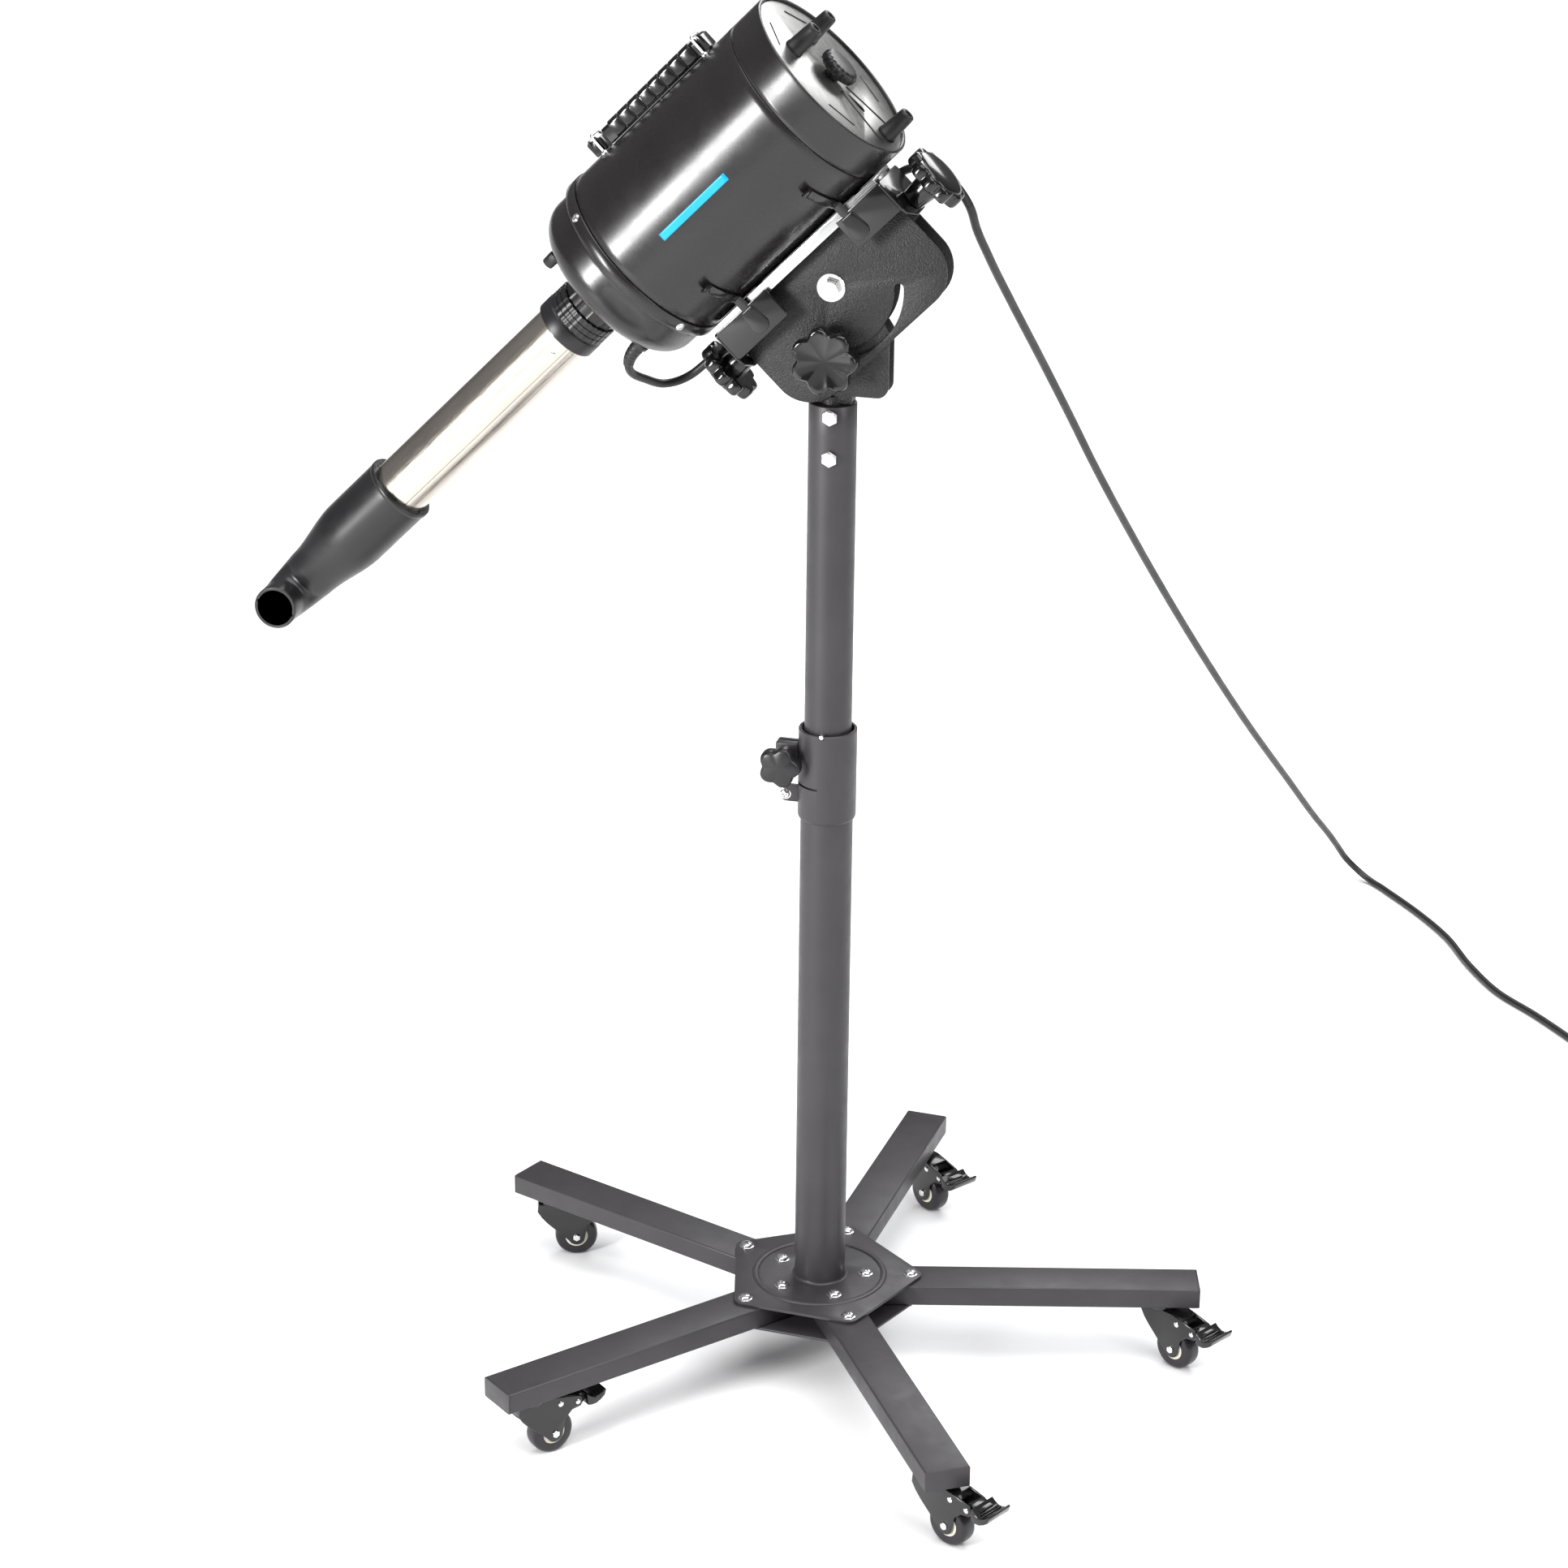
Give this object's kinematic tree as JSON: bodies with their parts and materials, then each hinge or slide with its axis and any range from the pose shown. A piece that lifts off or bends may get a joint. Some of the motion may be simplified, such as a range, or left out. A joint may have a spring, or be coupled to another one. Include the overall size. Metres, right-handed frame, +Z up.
{
  "type": "pet dryer on caster stand",
  "caption": "Black pet dryer: a tilting blower canister with a steel air tube and bent nozzle on a height-adjustable stand with braked casters.",
  "frame": {"origin": "on the floor, under the axis of the column", "axes": "+Z up along the column; +X level, towards the side that the canister's rear points to"},
  "size_m": [1.6343, 1.9203, 1.5424],
  "materials": {
    "black_steel": "satin powder coat",
    "textured_black": "textured powder coat",
    "satin_black": "satin",
    "gloss_black": "gloss",
    "black_plastic": "matte",
    "rubber_black": "matte",
    "tyre_black": "matte",
    "stainless": "brushed",
    "bright_metal": "satin",
    "zinc_bolt": "bright",
    "satin_grey": "satin",
    "filter_foam": "open foam",
    "motor_grey": "matte"
  },
  "bodies": {
    "stand": {"lower_tube": "black_steel", "clamp_collar": "black_steel", "hub_top_plate": "black_steel", "hub_bottom_plate": "black_steel", "leg_1": "black_steel", "leg_2": "black_steel", "leg_3": "black_steel", "leg_4": "black_steel", "leg_5": "black_steel", "cord_drop": "rubber_black", "cord_coil": "rubber_black", "plug": "black_plastic"},
    "mast": {"upper_tube": "black_steel", "mast_bracket": "textured_black", "pivot_bolt": "zinc_bolt", "cord_span": "rubber_black"},
    "height_knob": {"height_knob": "black_plastic"},
    "tilt_knob": {"tilt_knob": "gloss_black"},
    "head": {"tilt_bracket": "textured_black", "cradle_tray": "bright_metal", "canister_shell": "satin_black", "front_cap": "satin_black", "rear_cap": "satin_black", "rear_panel": "satin_grey", "handle_loop_front": "zinc_bolt", "handle_loop_rear": "zinc_bolt", "blower_motor": "motor_grey", "air_filter": "filter_foam", "rear_foot_1": "rubber_black", "rear_foot_2": "rubber_black", "rear_foot_3": "rubber_black", "outlet_spigot": "black_plastic", "cord_gland": "rubber_black", "cord_lead": "rubber_black"},
    "steel_tube": {"steel_tube": "stainless"},
    "jaw_front": {"jaw_front": "gloss_black"},
    "jaw_rear": {"jaw_rear": "gloss_black"},
    "jaw_knob_front": {"jaw_knob_front": "gloss_black"},
    "jaw_knob_rear": {"jaw_knob_rear": "gloss_black"},
    "handle": {"handle_grip": "black_plastic"},
    "fan": {"impeller": "bright_metal"},
    "filter_knob": {"filter_knob": "black_plastic"},
    "switch": {"power_switch": "black_plastic"},
    "ring": {"coupling_ring": "black_plastic"},
    "nozzle": {"nozzle": "black_plastic"},
    "caster_1": {"fork_1": "gloss_black"},
    "wheel_1": {"wheel_1": "tyre_black"},
    "pedal_1": {"brake_pedal_1": "gloss_black"},
    "caster_2": {"fork_2": "gloss_black"},
    "wheel_2": {"wheel_2": "tyre_black"},
    "pedal_2": {"brake_pedal_2": "gloss_black"},
    "caster_3": {"fork_3": "gloss_black"},
    "wheel_3": {"wheel_3": "tyre_black"},
    "pedal_3": {"brake_pedal_3": "gloss_black"},
    "caster_4": {"fork_4": "gloss_black"},
    "wheel_4": {"wheel_4": "tyre_black"},
    "pedal_4": {"brake_pedal_4": "gloss_black"},
    "caster_5": {"fork_5": "gloss_black"},
    "wheel_5": {"wheel_5": "tyre_black"},
    "pedal_5": {"brake_pedal_5": "gloss_black"}
  },
  "joints": [
    {"name": "caster_1_swivel", "type": "hinge", "parent": "stand", "child": "caster_1", "pos_m": [0.37948, 0.08998, 0.07], "axis": [0, 0, 1], "continuous": true},
    {"name": "wheel_1_spin", "type": "hinge", "parent": "caster_1", "child": "wheel_1", "pos_m": [0.40165, 0.0764, 0.025], "axis": [0.5225, 0.8526, 0], "continuous": true},
    {"name": "pedal_1_press", "type": "hinge", "parent": "caster_1", "child": "pedal_1", "pos_m": [0.42637, 0.06125, 0.056], "axis": [0.5225, 0.8526, 0], "range_deg": [0, 8]},
    {"name": "caster_2_swivel", "type": "hinge", "parent": "stand", "child": "caster_2", "pos_m": [0.03168, 0.38871, 0.07], "axis": [0, 0, 1], "continuous": true},
    {"name": "wheel_2_spin", "type": "hinge", "parent": "caster_2", "child": "wheel_2", "pos_m": [0.05258, 0.37324, 0.025], "axis": [0.5948, 0.8039, 0], "continuous": true},
    {"name": "pedal_2_press", "type": "hinge", "parent": "caster_2", "child": "pedal_2", "pos_m": [0.0759, 0.356, 0.056], "axis": [0.5948, 0.8039, 0], "range_deg": [0, 8]},
    {"name": "caster_3_swivel", "type": "hinge", "parent": "stand", "child": "caster_3", "pos_m": [-0.3599, 0.15025, 0.07], "axis": [0, 0, 1], "continuous": true},
    {"name": "wheel_3_spin", "type": "hinge", "parent": "caster_3", "child": "wheel_3", "pos_m": [-0.33524, 0.1585, 0.025], "axis": [-0.3173, 0.9483, 0], "continuous": true},
    {"name": "pedal_3_press", "type": "hinge", "parent": "caster_3", "child": "pedal_3", "pos_m": [-0.30774, 0.1677, 0.056], "axis": [-0.3173, 0.9483, 0], "range_deg": [0, 8]},
    {"name": "caster_4_swivel", "type": "hinge", "parent": "stand", "child": "caster_4", "pos_m": [-0.25411, -0.29585, 0.07], "axis": [0, 0, 1], "continuous": true},
    {"name": "wheel_4_spin", "type": "hinge", "parent": "caster_4", "child": "wheel_4", "pos_m": [-0.23688, -0.27638, 0.025], "axis": [-0.749, 0.6626, 0], "continuous": true},
    {"name": "pedal_4_press", "type": "hinge", "parent": "caster_4", "child": "pedal_4", "pos_m": [-0.21767, -0.25466, 0.056], "axis": [-0.749, 0.6626, 0], "range_deg": [0, 8]},
    {"name": "caster_5_swivel", "type": "hinge", "parent": "stand", "child": "caster_5", "pos_m": [0.20284, -0.3331, 0.07], "axis": [0, 0, 1], "continuous": true},
    {"name": "wheel_5_spin", "type": "hinge", "parent": "caster_5", "child": "wheel_5", "pos_m": [0.22569, -0.3455, 0.025], "axis": [0.4772, 0.8788, 0], "continuous": true},
    {"name": "pedal_5_press", "type": "hinge", "parent": "caster_5", "child": "pedal_5", "pos_m": [0.25118, -0.35934, 0.056], "axis": [0.4772, 0.8788, 0], "range_deg": [0, 8]},
    {"name": "mast_slide", "type": "slide", "parent": "stand", "child": "mast", "axis": [0, 0, 1], "range_m": [0, 0.22], "deforming": ["cord_drop"]},
    {"name": "height_knob_turn", "type": "hinge", "parent": "stand", "child": "height_knob", "pos_m": [-0.0445, 0, 0.73], "axis": [0, 1, 0], "continuous": true},
    {"name": "tilt", "type": "hinge", "parent": "mast", "child": "head", "pos_m": [0, 0, 1.2546], "axis": [0, 1, 0], "range_deg": [-2, 93], "deforming": ["cord_span"]},
    {"name": "tilt_knob_turn", "type": "hinge", "parent": "mast", "child": "tilt_knob", "pos_m": [0, 0, 1.184], "axis": [0, 1, 0], "continuous": true},
    {"name": "jaw_front_slide", "type": "slide", "parent": "head", "child": "jaw_front", "axis": [-0.7022, 0, -0.712], "range_m": [0, 0.008]},
    {"name": "jaw_rear_slide", "type": "slide", "parent": "head", "child": "jaw_rear", "axis": [0.7022, 0, 0.712], "range_m": [0, 0.008]},
    {"name": "jaw_knob_front_turn", "type": "hinge", "parent": "jaw_front", "child": "jaw_knob_front", "pos_m": [-0.11138, 0, 1.15376], "axis": [0.7022, 0, 0.712], "range_deg": [0, 720]},
    {"name": "jaw_knob_rear_turn", "type": "hinge", "parent": "jaw_rear", "child": "jaw_knob_rear", "pos_m": [0.10278, 0, 1.37093], "axis": [0.7022, 0, 0.712], "range_deg": [0, 720]},
    {"name": "ring_turn", "type": "hinge", "parent": "head", "child": "ring", "pos_m": [-0.27221, 0, 1.20002], "axis": [0.7022, 0, 0.712], "continuous": true},
    {"name": "tube_turn", "type": "hinge", "parent": "ring", "child": "steel_tube", "pos_m": [-0.28626, 0, 1.18578], "axis": [0.7022, 0, 0.712], "continuous": true},
    {"name": "nozzle_turn", "type": "hinge", "parent": "steel_tube", "child": "nozzle", "pos_m": [-0.48988, 0, 0.97929], "axis": [0.7022, 0, 0.712], "continuous": true},
    {"name": "handle_lift", "type": "slide", "parent": "head", "child": "handle", "axis": [-0.712, 0, 0.7022], "range_m": [0, 0.003]},
    {"name": "fan_spin", "type": "hinge", "parent": "head", "child": "fan", "pos_m": [-0.16689, 0, 1.30682], "axis": [0.7022, 0, 0.712], "continuous": true},
    {"name": "filter_knob_turn", "type": "hinge", "parent": "head", "child": "filter_knob", "pos_m": [-0.00189, 0, 1.47415], "axis": [0.7022, 0, 0.712], "continuous": true},
    {"name": "switch_turn", "type": "hinge", "parent": "head", "child": "switch", "pos_m": [-0.28756, -0.045, 1.27133], "axis": [0.7022, 0, 0.712], "range_deg": [0, 270]}
  ],
  "couplings": [
    {"joint": "jaw_front_slide", "follows": "jaw_knob_front_turn", "m_per_rad": 0.00063662},
    {"joint": "jaw_rear_slide", "follows": "jaw_knob_rear_turn", "m_per_rad": 0.00063662}
  ]
}
